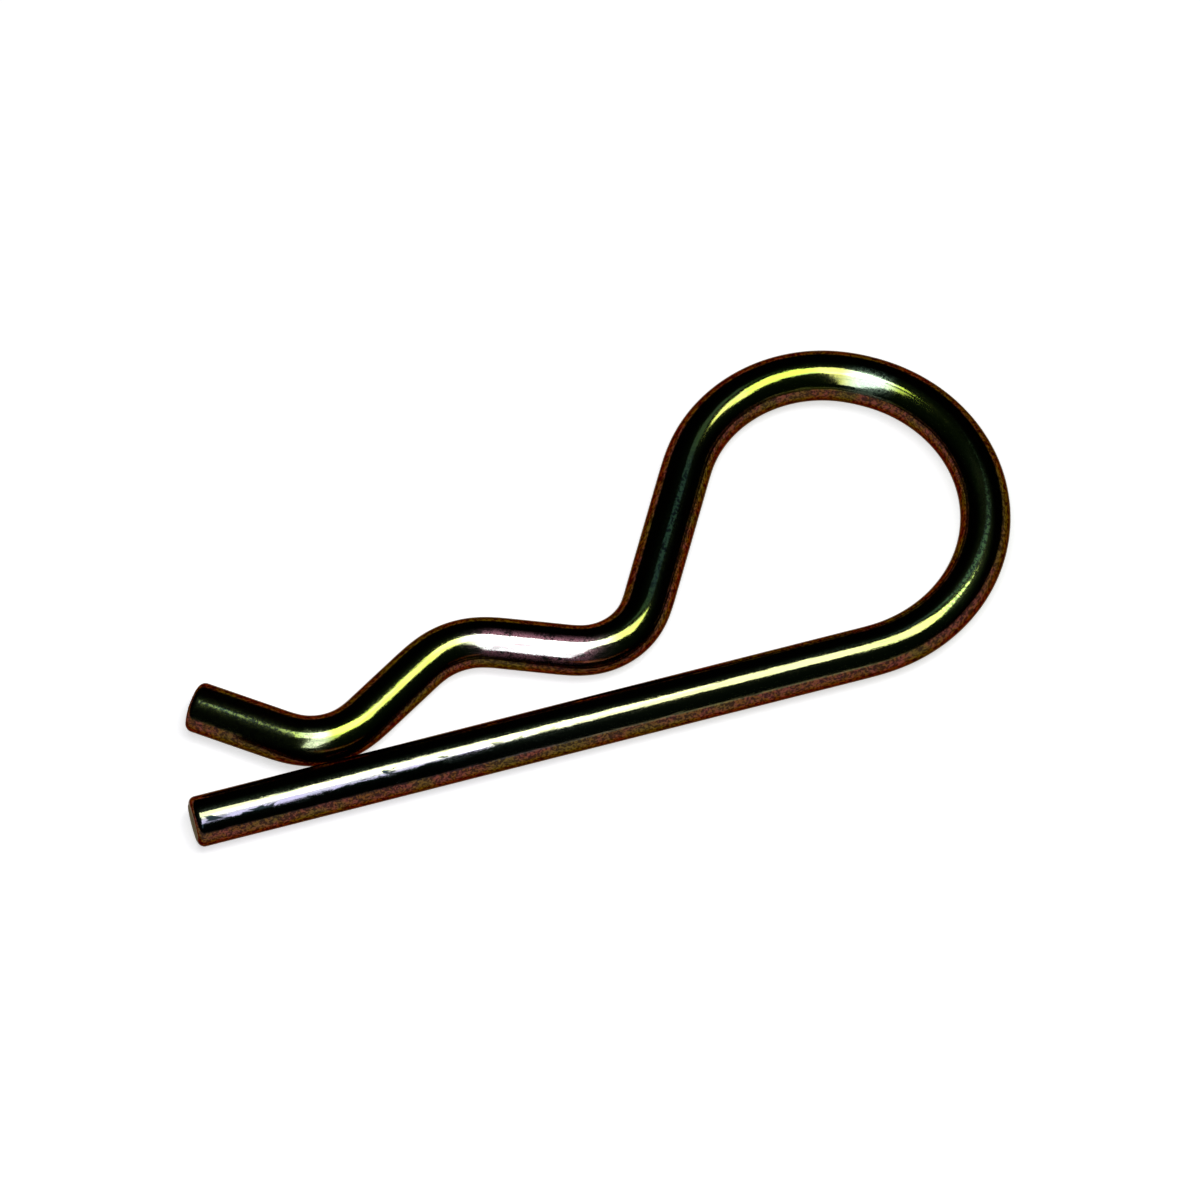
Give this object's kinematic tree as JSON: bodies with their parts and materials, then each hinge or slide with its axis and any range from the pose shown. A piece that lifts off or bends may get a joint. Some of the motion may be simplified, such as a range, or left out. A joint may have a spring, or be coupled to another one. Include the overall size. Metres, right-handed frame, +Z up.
{
  "type": "hitch r clip pin",
  "caption": "R-shaped hitch clip of round spring wire: a straight leg, a round eye and a wavy leg that grips a shaft, with a flared tip.",
  "frame": {"origin": "middle of the clip's outline, on the surface that the flat-lying clip rests on", "axes": "+X along the straight leg from its tip to the eye, +Y from the straight leg to the wavy leg, +Z up, square to the plane in which the wire is bent"},
  "size_m": [0.0822, 0.0346, 0.0048],
  "materials": {
    "yellow_zinc": "bright drawn spring steel wire with a yellow zinc passivate: dark olive gold that shifts to green, brown and rose, with a smooth gloss"
  },
  "bodies": {
    "root": {"clip_wire": "yellow_zinc"}
  },
  "joints": []
}
